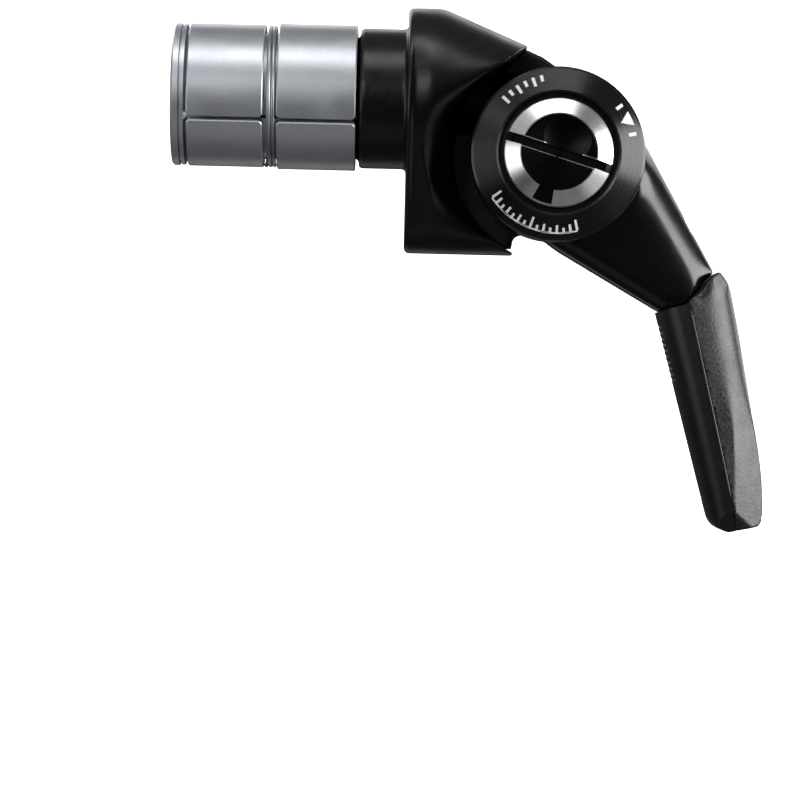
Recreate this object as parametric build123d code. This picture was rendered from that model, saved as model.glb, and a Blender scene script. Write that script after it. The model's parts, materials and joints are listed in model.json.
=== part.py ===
from build123d import *
from math import atan2, cos, degrees, exp, hypot, radians, sin, sqrt, tan
import os

# Bar-end gear shifter for a drop handlebar, millimetres.
# Row frame: the origin is on the bar axis in the plane of the bar's cut end. +X runs out of the bar
# toward the lever, +Z is up, and the slotted fixing bolt faces -Y.

# ---- expander plug (about the X axis) ----
SEG_R_IN = 9.65        # radius of the gripping bands next to the bracket
SEG_R_OUT = 9.45       # radius of the outer bands
SEG_X0 = -28.9         # far end of the segments
SEG_X1 = -6.7          # end next to the bracket
GROOVE_X0 = -18.9      # retaining spring groove
GROOVE_X1 = -17.08
GROOVE_R = 8.35
SEG_GAP = 0.45         # slit between neighbouring segments
BAND_CORNER_R = 0.6    # round corners where the slits end
BAND_BREAK = 0.14      # broken outer edge of each band
SEG_FIRST_GAP = 203.9  # angle of the first slit, from +Y toward +Z
CONE_ANGLE = 40.0      # half angle of the four wedge cones
CONE_BIG_R = 8.5
CONE_SMALL_R = 4.6
CONE_CLEAR = 0.03
DRAW = 0.70            # travel of the cone nut when the plug is tightened
NUT_X0 = -31.0
NUT_X1 = -29.3
NUT_R = 9.42
WIRE_R = 0.28          # retaining spring wire
WIRE_PITCH = 0.57
WIRE_TURNS = 2.0
BOLT_R = 2.95          # M6 expander bolt
BOLT_HOLE_R = 3.2
BOLT_HEAD_R = 4.9
BOLT_HEAD_X0 = 2.3
BOLT_HEAD_L = 4.0
BOLT_HEX = 5.0
CBORE_R = 5.2

# ---- bracket ----
SPIGOT_R = 9.3
SPIGOT_X0 = -6.3
FLANGE_R = 12.15       # upper half of the flange, about the bar axis
LOBE_R = 6.3           # lower half, round the cable entry
LOBE_Z = -14.2
BODY_BOTTOM_X = 14.6
ROOF_R = 12.15         # the sloping roof is a cylinder tipped down toward the lever
ROOF_TILT = 22.8
ROOF_BLEND = 4.0       # soft crease between the flange and the roof
EAR_R = 10.4
EAR_Y0 = 3.2           # pocket floor
EAR_Y1 = 8.5
POCKET_R = 13.7
FLARE = 4.0            # how far the pocket's rim rolls over at its middle, toward the bar
FLARE_DEPTH = 5.5
FLARE_MID = 184.0      # direction of the roll-over from the pivot, and its half width, degrees
FLARE_HALF = 34.0
POCKET_STEP = 1.5
STOP_FACE = 13.73      # flat at the pocket's top, parallel to the raised lever
STOP_FACE_ANGLE = 130.8
CAP_SEAT_Y = 8.2
CAP_SEAT_R = 6.6
STOP_R = 3.05          # outer cable housing ferrule seat
STOP_DEPTH = 7.5
STOP_Z = -16.3
CABLE_Y = -1.0
CABLE_HOLE_R = 1.1

# ---- pivot (axis along Y) ----
PX = 19.85
PZ = -7.5
STUD_R = 4.0
CAP_R = 6.1
CAP_Y = 9.4
STUD_END_Y = -11.75
THREAD_R = 2.5
STUD_FLATS = 6.4       # across the flats that key the washer

# ---- lever ----
HEAD_R = 11.0
HEAD_RIM_R = 11.42     # rim under the cover disc
HEAD_RIM_Y = -7.4
HEAD_Y0 = -10.3
HEAD_Y1 = 2.6
ARM_TOP = (12.19, 1.56)        # outline of the arm from the pivot, where its edges leave the head
ARM_TOP_END = (21.35, -14.60)
ARM_NOTCH = (17.45, -18.86)
ARM_LOW_END = (14.08, -19.98)
ARM_LOW = (0.73, -12.39)
ARM_Y0 = -6.5
ARM_Y1 = 2.5
MECH_R = 7.0           # bore for the click mechanism
MECH_Y = -2.7
BUSH_R = 5.2
CABLE_R = 8.8          # radius of the wound cable's centre line
GRIP_Y = -1.0          # middle plane of the grip

# ---- cover disc and fixing bolt ----
DISC_R = 11.34
DISC_Y0 = -10.35
DISC_Y1 = -12.4
DISC_IN_R = 7.85
SCREW_R = 7.1
SCREW_Y = -13.75
SCREW_CONE = 1.15       # height of the bright cone round the recess
SCREW_SLOT = 16.8      # slope of the slot, degrees down to the right
RECESS_R = 4.97

os.makedirs("parts", exist_ok=True)


def cyl_x(r, x0, x1, y=0.0, z=0.0):
    """A cylinder along X from x0 to x1."""
    plane = Plane(origin=(x0, y, z), x_dir=(0, 1, 0), z_dir=(1, 0, 0))
    return extrude(plane * Circle(r), amount=x1 - x0)


def cyl_y(r, y0, y1, x=PX, z=PZ):
    """A cylinder along Y from y0 to y1, by default on the pivot axis."""
    plane = Plane(origin=(x, y0, z), x_dir=(0, 0, 1), z_dir=(0, 1, 0))
    return extrude(plane * Circle(r), amount=y1 - y0)


def tube_y(r_out, r_in, y0, y1):
    return cyl_y(r_out, y0, y1) - cyl_y(r_in, y0 - 1, y1 + 1)


def side_plane(y):
    """A plane facing -Y whose local axes are X and Z."""
    return Plane(origin=(0, y, 0), x_dir=(1, 0, 0), z_dir=(0, -1, 0))


def prism_y(face, y0, y1):
    """Extrude a face drawn in X and Z from y1 down to y0."""
    return extrude(side_plane(y1) * face, amount=y1 - y0)


def poly_xz(points):
    return make_face(Polyline(*points, close=True))


def rel(points):
    """Points given from the pivot, as X and Z of the row frame."""
    return [(PX + x, PZ + z) for x, z in points]


def turned_x(points):
    """Revolve a profile of (x, radius) points about the bar axis."""
    return revolve(make_face(Polyline(*points, close=True)), axis=Axis.X)


def turned_y(points):
    """Revolve a profile of (radius, y) points about the pivot axis."""
    face = make_face(Polyline(*points, close=True))
    return revolve(Plane(origin=(PX, 0, PZ)) * face, axis=Axis((PX, 0, PZ), (0, 1, 0)))


def save(name, shape, label=None):
    shape.label = label or name
    export_step(shape, "parts/" + name + ".step")
    box = shape.bounding_box()
    count = len(shape.solids())
    print(f"{name:16s} solids {count} volume {shape.volume:9.2f}",
          f"X {box.min.X:.2f}..{box.max.X:.2f} Y {box.min.Y:.2f}..{box.max.Y:.2f}",
          f"Z {box.min.Z:.2f}..{box.max.Z:.2f} valid {shape.is_valid}")


def asin_deg(v):
    return degrees(atan2(v, sqrt(1 - v * v)))


def sphere_at(r, x, y, z):
    return Pos(x, y, z) * Sphere(r)


def box_between(x0, x1, y0, y1, z0, z1):
    return Pos((x0 + x1) / 2, (y0 + y1) / 2, (z0 + z1) / 2) * Box(x1 - x0, y1 - y0, z1 - z0)


def pivot_turn(shape, angle):
    """Turn a shape about the pivot axis, counter-clockwise seen from -Y."""
    return shape.rotate(Axis((PX, 0, PZ), (0, -1, 0)), angle)


def polar_xz(r, angle):
    """Point at a radius and angle from the pivot, angle from +X toward +Z."""
    return PX + r * cos(radians(angle)), PZ + r * sin(radians(angle))


def sector_prism(r, a0, a1, y0, y1):
    """Wedge about the pivot axis between two angles."""
    steps = 8
    points = [(PX, PZ)]
    for i in range(steps + 1):
        points.append(polar_xz(r, a0 + (a1 - a0) * i / steps))
    return prism_y(poly_xz(points), y0, y1)


# ======================= bracket =======================

def flange_section():
    """Round flange hulled with the smaller lobe below it, drawn in Y and Z."""
    drop = asin_deg((FLANGE_R - LOBE_R) / -LOBE_Z)
    c = cos(radians(drop))
    s = sin(radians(drop))
    web = Polyline(
        (FLANGE_R * c, -FLANGE_R * s),
        (LOBE_R * c, LOBE_Z - LOBE_R * s),
        (-LOBE_R * c, LOBE_Z - LOBE_R * s),
        (-FLANGE_R * c, -FLANGE_R * s),
        close=True,
    )
    return Circle(FLANGE_R) + Pos(0, LOBE_Z) * Circle(LOBE_R) + make_face(web)


def roof():
    """Everything under the sloping, rounded roof."""
    t = radians(ROOF_TILT)
    top = (6.7, 11.30)
    centre = (top[0] - ROOF_R * sin(t), top[1] - ROOF_R * cos(t))
    back = 30.0
    origin = (centre[0] - back * cos(t), 0, centre[1] + back * sin(t))
    plane = Plane(origin=origin, x_dir=(0, 1, 0), z_dir=(cos(t), 0, -sin(t)))
    # local axes: x is +Y, y points up and toward +X
    skirt = make_face(
        Polyline((-ROOF_R, 0), (-ROOF_R, -60), (ROOF_R, -60), (ROOF_R, 0), close=True)
    )
    return extrude(plane * (Circle(ROOF_R) + skirt), amount=90)


def side_outline():
    """Outline of the bracket seen along the pivot axis, ear included."""
    a0 = radians(38)
    a1 = radians(-100)
    start = (PX + EAR_R * cos(a0), PZ + EAR_R * sin(a0))
    end = (PX + EAR_R * cos(a1), PZ + EAR_R * sin(a1))
    mid_a = radians(-30)
    mid = (PX + EAR_R * cos(mid_a), PZ + EAR_R * sin(mid_a))
    top = Spline(
        (20.3, 5.6), (23.9, 3.1), start,
        tangents=[(0.9165, -0.4), (sin(a0), -cos(a0))],
    )
    foot = Spline(end, (15.35, end[1] + 0.1), (BODY_BOTTOM_X, end[1] - 0.8), tangents=[(-1, 0.1), (-0.1, -1)])
    step = foot + Polyline((BODY_BOTTOM_X, end[1] - 0.8), (BODY_BOTTOM_X, -22), (-1, -22), (-1, 14.5),
                           (20.3, 14.5), (20.3, 5.6))
    return make_face(top + ThreePointArc(start, mid, end) + step)


def far_side():
    """Material removed beyond the +Y skin, which slopes from the flange to the flat ear."""
    skin = Spline(
        (-2, 12.7), (2, 11.95), (7.5, 10.4), (13.5, 9.1), (19.85, EAR_Y1), (27, EAR_Y1 - 0.1), (33, EAR_Y1 - 0.1),
    )
    rest = Polyline((33, EAR_Y1 - 0.1), (33, 16), (-2, 16), (-2, 12.7))
    return Pos(0, 0, -30) * extrude(make_face(skin + rest), amount=60)


def near_skin(z):
    """Y of the flange's near side at a height: round at the top, then flat down to the lobe."""
    drop = asin_deg((FLANGE_R - LOBE_R) / -LOBE_Z)
    s = sin(radians(drop))
    c = cos(radians(drop))
    if z > -FLANGE_R * s:
        return -sqrt(max(0.0, FLANGE_R ** 2 - z ** 2))
    return -FLANGE_R * c - (z + FLANGE_R * s) * s / c


def pocket_section(y):
    """The pocket at one depth: a circle whose wall rolls over toward the near skin on the bar's side."""
    points = []
    for a in range(0, 360, 10):
        z = PZ + POCKET_R * sin(radians(a))
        sunk = max(0.0, 1 - (y - near_skin(z)) / FLARE_DEPTH)
        rolled = FLARE * sunk ** 2 * exp(-abs((a - FLARE_MID) / FLARE_HALF) ** 4)
        points.append(polar_xz(POCKET_R + rolled, a))
    return side_plane(y) * make_face(Spline(*points, periodic=True))


def pocket():
    """Round pocket for the lever head, its wall one smooth skin from the floor to the near side."""
    return loft([pocket_section(EAR_Y0 - POCKET_STEP * k) for k in range(12)])


def stop_face():
    """Material cut away above a flat at the pocket's top, which stays clear of the raised lever."""
    normal = radians(STOP_FACE_ANGLE)
    flat = [(STOP_FACE * cos(normal) + t * sin(normal), STOP_FACE * sin(normal) - t * cos(normal)) for t in (-1.5, 13)]
    return prism_y(poly_xz(rel(flat + [(15, 17), (15, 0), (0, 0)])), -14.0, EAR_Y0)


def bracket():
    body = extrude(Plane(origin=(0, 0, 0), x_dir=(0, 1, 0), z_dir=(1, 0, 0)) * flange_section(), amount=32)
    body = body & roof()
    crease = [e for e in body.edges() if e.bounding_box().min.X > 0.5 and e.bounding_box().max.X < 6]
    body = fillet(crease, ROOF_BLEND)
    body = body & prism_y(side_outline(), -14, 14)
    body = body - far_side()
    rim = [e for e in body.edges() if e.bounding_box().max.X < 0.01]
    body = fillet(rim, 0.7)
    # the ear is a full round disc about the pivot, with a soft outer rim
    ear = cyl_y(EAR_R, EAR_Y0 - 2, EAR_Y1)
    ear = fillet([e for e in ear.edges() if e.center().Y > EAR_Y1 - 0.1], 3.0)
    body = body + ear
    body = body - pocket() - stop_face()
    # spigot that enters the bar, with the fixed wedge cone on its end
    spigot = turned_x([
        (1.0, 0), (1.0, SPIGOT_R), (SPIGOT_X0 + 0.35, SPIGOT_R), (SPIGOT_X0, SPIGOT_R - 0.35),
        (SPIGOT_X0, CONE_BIG_R), (cone_tip(SPIGOT_X0, -1), CONE_SMALL_R), (cone_tip(SPIGOT_X0, -1), 0),
    ])
    body = body + spigot
    # round moulding mark on the spigot's near side
    mark = cyl_y(1.55, -9.6, -9.0, -3.6, -0.2) - cyl_y(1.3, -10, -8, -3.6, -0.2)
    mark = mark - cyl_x(SPIGOT_R - 0.12, -8, 0.5)
    body = body - mark
    # through hole and deep counterbore for the expander bolt
    body = body - cyl_x(BOLT_HOLE_R, -20, 5)
    body = body - cyl_x(CBORE_R, BOLT_HEAD_X0 - 1.0, PX - STUD_R - 0.05)
    # cable: ferrule seat in the bar face, then a small hole into the pocket
    body = body - cyl_x(STOP_R, -1, STOP_DEPTH, CABLE_Y, STOP_Z)
    body = body - cyl_x(CABLE_HOLE_R, STOP_DEPTH - 1, 20, CABLE_Y, STOP_Z)
    # pivot stud bore, cap seat and the two lug pockets of the click plate
    body = body - cyl_y(STUD_R, 0, 12)
    body = body - cyl_y(CAP_SEAT_R, CAP_SEAT_Y, 14)
    for angle in (60, 240):
        body = body - lug(angle, 1.7, 4.25, 0.05)
    return body


def lug(angle, y0, y1, grow=0.0):
    """A square lug on the pitch circle of the click plate."""
    x, z = polar_xz(5.4, angle)
    w = 0.7 + grow
    block = box_between(x - w, x + w, y0, y1, z - w, z + w)
    return block.rotate(Axis((x, 0, z), (0, -1, 0)), angle)


def cone_tip(x, way):
    """X of the small end of a wedge cone whose big end is at x."""
    return x + way * (CONE_BIG_R - CONE_SMALL_R) / tan(radians(CONE_ANGLE))


# ======================= expander plug =======================

def segment(index):
    """One gripping segment, drawn tightened and then moved back to the slack position."""
    slide = DRAW / 2
    rise = slide * tan(radians(CONE_ANGLE))
    mid = SEG_FIRST_GAP + 60 + 120 * index
    c = cos(radians(mid))
    s = sin(radians(mid))
    x0 = SEG_X0
    x1 = SEG_X1
    outer = turned_x([
        (x0, 0), (x0, SEG_R_OUT), (GROOVE_X0, SEG_R_OUT), (GROOVE_X0, GROOVE_R), (GROOVE_X1, GROOVE_R),
        (GROOVE_X1, SEG_R_IN), (x1, SEG_R_IN), (x1, 0),
    ])
    grow = CONE_CLEAR / cos(radians(CONE_ANGLE))
    nut_big = NUT_X1 + DRAW - slide
    root_big = SPIGOT_X0 - slide
    t = tan(radians(CONE_ANGLE))
    bore_r = CONE_SMALL_R + 0.2 - rise
    # the cones as they lie against the segments, in the segment's own slack position
    inner = turned_x([
        (nut_big - 4, 0), (nut_big - 4, CONE_BIG_R + grow + 4 * t), (nut_big, CONE_BIG_R + grow),
        (nut_big + (CONE_BIG_R + grow - bore_r - rise) / t, bore_r + rise),
        (root_big - (CONE_BIG_R + grow - bore_r - rise) / t, bore_r + rise),
        (root_big, CONE_BIG_R + grow), (root_big + 4, CONE_BIG_R + grow + 4 * t), (root_big + 4, 0),
    ])
    inner = Pos(0, -rise * c, -rise * s) * inner
    body = outer - inner
    wedge = Polyline((0, 0), (20 * tan(radians(60)), 20), (-20 * tan(radians(60)), 20), close=True)
    sector = extrude(
        Plane(origin=(-40, 0, 0), x_dir=(0, s, -c), z_dir=(1, 0, 0))
        * make_face(wedge.moved(Location((0, SEG_GAP / 2 / sin(radians(60)), 0)))),
        amount=50,
    )
    return soft_bands(body & sector)


def soft_bands(body):
    """Round the corners where the slits meet the band ends, then break the bands' outer edges."""
    corners = []
    for e in body.edges():
        p = e @ 0
        q = e @ 1
        if e.geom_type == GeomType.LINE and abs(p.X - q.X) < 0.001:
            corners.append(e)
    body = fillet(corners, BAND_CORNER_R)
    for band in [SEG_R_OUT, SEG_R_IN]:
        skin = [f for f in body.faces() if f.geom_type == GeomType.CYLINDER and on_radius(f, band)]
        body = chamfer(skin[0].edges(), BAND_BREAK)
    return body


def on_radius(face, radius):
    """Whether a face lies on a cylinder of this radius about the bar axis."""
    p = face.center()
    return abs(hypot(p.Y, p.Z) - radius) < 0.02


def cone_nut():
    body = turned_x([
        (NUT_X0, 0), (NUT_X0, NUT_R - 0.25), (NUT_X0 + 0.25, NUT_R), (NUT_X0 + 0.95, NUT_R),
        (NUT_X0 + 1.05, NUT_R - 0.5), (NUT_X0 + 1.2, NUT_R - 0.5), (NUT_X0 + 1.25, NUT_R - 0.08),
        (NUT_X1, NUT_R - 0.08), (NUT_X1, CONE_BIG_R),
        (cone_tip(NUT_X1, 1), CONE_SMALL_R), (cone_tip(NUT_X1, 1), 0),
    ])
    return body - cyl_x(BOLT_R + 0.02, -40, 0)


def retaining_ring():
    """Close-wound wire spring that holds the three segments together."""
    r = SEG_R_OUT - WIRE_R - 0.02
    height = WIRE_PITCH * WIRE_TURNS
    coil = Helix(pitch=WIRE_PITCH, height=height, radius=r)
    start = Plane(origin=coil @ 0, z_dir=coil % 0)
    wire = sweep(start * Circle(WIRE_R), path=coil)
    mid = (GROOVE_X0 + GROOVE_X1) / 2
    wire = wire.rotate(Axis.Y, 90)
    return Pos(mid - height / 2, 0, 0) * wire


def expander_bolt():
    x0 = BOLT_HEAD_X0
    x1 = x0 + BOLT_HEAD_L
    body = turned_x([
        (NUT_X0 - 0.0, 0), (NUT_X0, BOLT_R - 0.5), (NUT_X0 + 0.5, BOLT_R), (x0, BOLT_R), (x0, BOLT_HEAD_R),
        (x1 - 0.4, BOLT_HEAD_R), (x1, BOLT_HEAD_R - 0.4), (x1, 0),
    ])
    hexagon = RegularPolygon(BOLT_HEX / 2, 6, major_radius=False)
    socket = extrude(Plane(origin=(x1 - 2.6, 0, 0), x_dir=(0, 1, 0), z_dir=(1, 0, 0)) * hexagon, amount=4)
    return body - socket


def expander_washer():
    x1 = BOLT_HEAD_X0
    return cyl_x(CBORE_R - 0.15, x1 - 1.0, x1) - cyl_x(BOLT_HOLE_R - 0.05, x1 - 2, x1 + 1)


# ======================= pivot stack =======================

def pivot_boss():
    """Pressed stud: a turned cap outside the ear, a threaded bore inside."""
    body = turned_y([
        (THREAD_R, STUD_END_Y), (STUD_R, STUD_END_Y), (STUD_R, CAP_SEAT_Y), (CAP_R, CAP_SEAT_Y),
        (CAP_R, CAP_Y - 0.35), (CAP_R - 0.3, CAP_Y - 0.08), (0.55, CAP_Y), (0.35, CAP_Y - 0.25), (0, CAP_Y - 0.3),
        (0, 1.5), (THREAD_R, 1.5),
    ])
    for side in (-1, 1):
        z = PZ + side * (STUD_FLATS / 2 + 2)
        body = body - box_between(PX - 5, PX + 5, STUD_END_Y - 1, STUD_END_Y + 1.4, z - 2, z + 2)
    return body


def base_washer():
    body = tube_y(MECH_R - 0.3, STUD_R + 0.02, 2.75, EAR_Y0)
    for angle in (60, 240):
        body = body - lug(angle, 1.0, 5.0, 0.04)
    return body


def index_plate():
    """Click plate, 30 dimples of 12 degrees, keyed to the ear by two lugs."""
    face = 1.75
    body = tube_y(MECH_R - 0.3, STUD_R + 0.02, face, 2.75)
    groove = cyl_y(6.25, face - 1, face + 0.2) - cyl_y(4.75, face - 2, face + 1)
    body = body - groove
    for k in range(30):
        x, z = polar_xz(5.5, 12 * k)
        body = body - sphere_at(0.8, x, face - 0.36, z)
    for angle in (60, 240):
        body = body + lug(angle, 2.5, 4.15)
    return body


def ball_spots():
    return [polar_xz(5.5, a) for a in (0, 120, 240)]


def detent_balls():
    return Compound(children=[sphere_at(0.78, x, 1.13, z) for x, z in ball_spots()])


def ball_retainer():
    body = tube_y(MECH_R - 0.1, STUD_R + 0.15, -0.3, 1.5)
    for x, z in ball_spots():
        body = body - cyl_y(0.82, 0.33, 3.0, x, z)
    for angle in (30, 210):
        body = body + retainer_key(angle, 0.0)
    return body


def retainer_key(angle, grow):
    x, z = polar_xz(MECH_R + 0.1, angle)
    w = 0.8 + grow
    block = box_between(x - 0.7 - grow, x + 0.6 + grow, -0.3, 1.5, z - w, z + w)
    return block.rotate(Axis((x, 0, z), (0, -1, 0)), angle)


def disc_springs():
    """Two coned disc springs back to back, pressing the retainer toward the click plate."""
    lower = turned_y([(4.5, -2.7 + 0.85), (4.5, -2.7 + 0.5), (6.7, -2.7), (6.7, -2.7 + 0.35)])
    upper = turned_y([(4.5, -0.3 - 0.85), (4.5, -0.3 - 0.5), (6.7, -0.3), (6.7, -0.3 - 0.35)])
    return Compound(children=[lower, upper])


def lever_bush():
    return tube_y(BUSH_R, STUD_R + 0.03, HEAD_Y0 + 0.05, MECH_Y)


def cover_disc():
    """Printed dial: a shallow turned cone with a deep seat for the bolt head."""
    body = turned_y([
        (STUD_R + 0.04, DISC_Y0), (DISC_R - 0.25, DISC_Y0), (DISC_R, DISC_Y0 - 0.2), (DISC_R, DISC_Y0 - 0.6),
        (DISC_R - 0.3, DISC_Y0 - 0.85), (DISC_IN_R + 0.3, DISC_Y1), (DISC_IN_R, DISC_Y1 + 0.1),
        (DISC_IN_R, -11.35), (STUD_R + 0.04, -11.35),
    ])
    return body


def bolt_washer():
    hole = cyl_y(STUD_R + 0.02, -13, -10)
    h = STUD_FLATS / 2 + 0.02
    hole = hole & box_between(PX - 5, PX + 5, -13, -10, PZ - h, PZ + h)
    return cyl_y(6.9, -11.82, -11.37) - hole


def fixing_bolt():
    top = -11.83
    body = turned_y([
        (0, -2.5), (2.0, -2.5), (2.48, -3.0), (2.48, top), (SCREW_R, top), (SCREW_R, SCREW_Y + SCREW_CONE + 0.15),
        (SCREW_R - 0.12, SCREW_Y + SCREW_CONE), (RECESS_R + 0.12, SCREW_Y), (0, SCREW_Y),
    ])
    body = body - cyl_y(RECESS_R, SCREW_Y - 1, SCREW_Y + 0.7)
    # the half above the slot is dished
    dish = sphere_at(9.5, PX + 1.1, SCREW_Y - 8.27, PZ + 1.9) & cyl_y(RECESS_R - 0.3, SCREW_Y - 2, SCREW_Y + 3)
    upper = box_between(PX - 8, PX + 8, -15, -10, PZ, PZ + 8)
    upper = pivot_turn(upper, -SCREW_SLOT)
    body = body - (dish & upper)
    slot = box_between(PX - 6.4, PX + 6.4, SCREW_Y - 1, SCREW_Y + 1.4, PZ - 0.6, PZ + 0.6)
    body = body - pivot_turn(slot, -SCREW_SLOT)
    # radial notch below the slot, sharp on its right wall
    notch = sector_prism(6.8, -119.5, -97.0, SCREW_Y - 1, SCREW_Y + 0.95)
    body = body - notch
    return body


# ======================= lever =======================

def lever_arm():
    head = turned_y([
        (0, HEAD_Y0), (HEAD_RIM_R - 0.2, HEAD_Y0), (HEAD_RIM_R, HEAD_Y0 + 0.2), (HEAD_RIM_R, HEAD_RIM_Y),
        (HEAD_R, HEAD_RIM_Y + 0.4), (HEAD_R, HEAD_Y1 - 0.25), (HEAD_R - 0.25, HEAD_Y1), (0, HEAD_Y1),
    ])
    arm = prism_y(poly_xz(rel([
        (-2, 6), (10.1, 3.6), ARM_TOP, ARM_TOP_END, ARM_NOTCH, ARM_LOW_END, ARM_LOW, (-6, -7.4),
    ])), ARM_Y0, ARM_Y1)
    arm = fillet(near_edges(arm, ARM_TOP, ARM_TOP_END), 4.4)
    arm = fillet(near_edges(arm, ARM_LOW_END, ARM_LOW), 2.4)
    body = head + arm
    # tang inside the grip
    body = body + tang(0.0)
    # stud bore with the bush, and the click mechanism bore
    body = body - cyl_y(BUSH_R, -20, 20) - cyl_y(MECH_R, MECH_Y, 20)
    for angle in (30, 210):
        body = body - retainer_key(angle, 0.06) - Pos(0, 1.7, 0) * retainer_key(angle, 0.06)
    # cable groove round the head, entry hole for the cable end and the small hole behind it
    ring = cyl_y(14.5, CABLE_Y - 0.8, CABLE_Y + 0.8) - cyl_y(CABLE_R - 0.6, -5, 5)
    body = body - (ring & sector_prism(30, 142, 270, -5, 5))
    z = PZ - CABLE_R
    body = body - cyl_x(2.15, PX + 9.5, PX + 24, CABLE_Y, z)
    body = body - cyl_x(0.9, PX - 1.0, PX + 12, CABLE_Y, z)
    return body


def near_edges(shape, a, b):
    """The two long edges of a prism that run between two outline points given from the pivot."""
    ax, az = PX + a[0], PZ + a[1]
    bx, bz = PX + b[0], PZ + b[1]
    found = []
    for e in shape.edges():
        p = e @ 0
        q = e @ 1
        if abs(p.Y - q.Y) > 0.01:
            continue
        d1 = abs(p.X - ax) + abs(p.Z - az) + abs(q.X - bx) + abs(q.Z - bz)
        d2 = abs(q.X - ax) + abs(q.Z - az) + abs(p.X - bx) + abs(p.Z - bz)
        if min(d1, d2) < 0.05:
            found.append(e)
    return found


def tang(grow):
    """Flat tongue of the lever arm on which both grip halves are fixed."""
    g = grow
    pts = rel([
        (14.2 - g, -14.0), (19.0 + g, -14.0), (23.9 + g, -38.0 - g), (21.9 - g, -38.0 - g), (17.8 - g, -22.0 - g),
        (14.9 - g, -22.0 - g), (14.2 - g, -19.0),
    ])
    return prism_y(poly_xz(pts), GRIP_Y - 2.6 - g, GRIP_Y + 2.6 + g)


GRIP_ROWS = [
    # height below the pivot, left, ridge, facet edge, right, half width at the ridge, at the facet, crown half
    (-12.5, 11.90, 16.40, 20.20, 22.55, 6.40, 5.60, 3.6),
    (-17.0, 13.05, 17.45, 21.20, 23.50, 6.50, 5.70, 3.7),
    (-22.0, 14.35, 18.62, 22.20, 24.57, 6.50, 5.75, 3.7),
    (-29.0, 16.28, 20.32, 23.55, 25.90, 6.40, 5.75, 3.7),
    (-36.0, 18.20, 22.04, 24.16, 27.24, 6.20, 5.80, 3.5),
    (-42.0, 19.85, 23.50, 24.47, 28.18, 5.95, 5.75, 3.3),
    (-46.0, 20.95, 24.42, 24.62, 28.38, 5.75, 5.70, 3.2),
    (-49.6, 21.95, 25.15, 25.30, 28.45, 5.50, 5.45, 3.1),
]


def grip_row(row):
    """Outline of the grip at one height: a curved palm side and a facetted thumb side."""
    z, left, ridge, facet, right, hw, hf, hc = row
    z = PZ + z
    p = [(PX + x, GRIP_Y + y, z) for x, y in (
        (ridge, -hw), (facet, -hf), (right, -hc), (right, hc), (facet, hf), (ridge, hw))]
    w = ridge - left
    q = [(PX + left + w * a, GRIP_Y + hw * b, z) for a, b in (
        (0.38, 0.86), (0.08, 0.52), (0.0, 0.0), (0.08, -0.52), (0.38, -0.86))]
    edges = Polyline(*p) + Spline(p[5], *q, p[0])
    return make_face(edges)


def grip_outline():
    """Outline of the grip seen along the pivot axis: notched top, rounded tip."""
    top = Polyline(*rel([(9.0, -18.70), (13.76, -20.16), (17.48, -19.04), (21.48, -14.76), (21.90, -14.70)]))
    corner = Spline(*rel([(21.90, -14.70), (23.10, -16.20), (23.85, -18.5)]))
    right = Polyline(*rel([(23.85, -18.5), (24.6, -21.0), (30.0, -30.0), (30.0, -46.5), (28.25, -46.7)]))
    tip = Spline(*rel([(28.25, -46.7), (28.22, -47.55), (27.70, -48.18)]))
    foot = Polyline(*rel([(27.70, -48.18), (23.90, -49.0)]))
    toe = Spline(*rel([(23.90, -49.0), (22.35, -48.3), (20.99, -46.18)]))
    left = Polyline(*rel([(20.99, -46.18), (20.0, -44.2), (9.0, -30.0), (9.0, -18.70)]))
    return make_face(top + corner + right + tip + foot + toe + left)


def grip_body():
    solid = loft([grip_row(r) for r in GRIP_ROWS], ruled=False)
    solid = solid & prism_y(grip_outline(), -20, 20)
    # slanted planes under both ends of the tip
    for side in (-1, 1):
        pts = [(GRIP_Y + side * y, PZ + z) for y, z in ((6.3, -45.6), (3.4, -49.4), (9.0, -49.6), (9.0, -45.6))]
        plane = Plane(origin=(30, 0, 0), x_dir=(0, 1, 0), z_dir=(1, 0, 0))
        solid = solid - extrude(plane * make_face(Polyline(*pts, close=True)), amount=30)
    return solid


def ridge_side():
    """Everything on the thumb side of the parting line between the grip halves."""
    line = [(row[2] - 0.12, row[0]) for row in GRIP_ROWS]
    line = [(line[0][0] - 1.0, -10.0)] + line
    pts = rel(line + [(60, -49.6), (60, -10.0)])
    return prism_y(poly_xz(pts), -20, 20)


def grip_pad():
    """Textured thumb pad."""
    return (grip_body() & ridge_side()) - tang(0.06)


def grip_shell():
    """Smooth palm side with fine ribs across its upper edge."""
    body = grip_body() - ridge_side() - tang(0.06)
    a = (14.40, -22.0)
    b = (16.36, -29.0)
    for k in range(10):
        x = PX + a[0] + (b[0] - a[0]) * k / 9 - 0.16
        z = PZ + a[1] + (b[1] - a[1]) * k / 9
        body = body - cyl_y(0.3, GRIP_Y - 5, GRIP_Y + 5, x, z)
    return body


if __name__ == "__main__":
    save("bracket", bracket())
    save("pivot_boss", pivot_boss())
    save("base_washer", base_washer())
    save("index_plate", index_plate())
    save("detent_balls", detent_balls())
    save("ball_retainer", ball_retainer())
    save("disc_springs", disc_springs())
    save("lever_bush", lever_bush())
    save("cover_disc", cover_disc())
    save("bolt_washer", bolt_washer())
    save("fixing_bolt", fixing_bolt())
    save("expander_bolt", expander_bolt())
    save("expander_washer", expander_washer())
    save("cone_nut", cone_nut())
    for i in range(3):
        save(f"segment_{i + 1}", segment(i))
    save("retaining_ring", retaining_ring())
    save("lever_arm", lever_arm())
    save("grip_shell", grip_shell())
    save("grip_pad", grip_pad())
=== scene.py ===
"""A thumb lever for a handlebar on a white sweep: looks, fine skins, printed marks and light."""
import json
import math

import bpy
import numpy as np
from mathutils import Matrix, Vector


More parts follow.
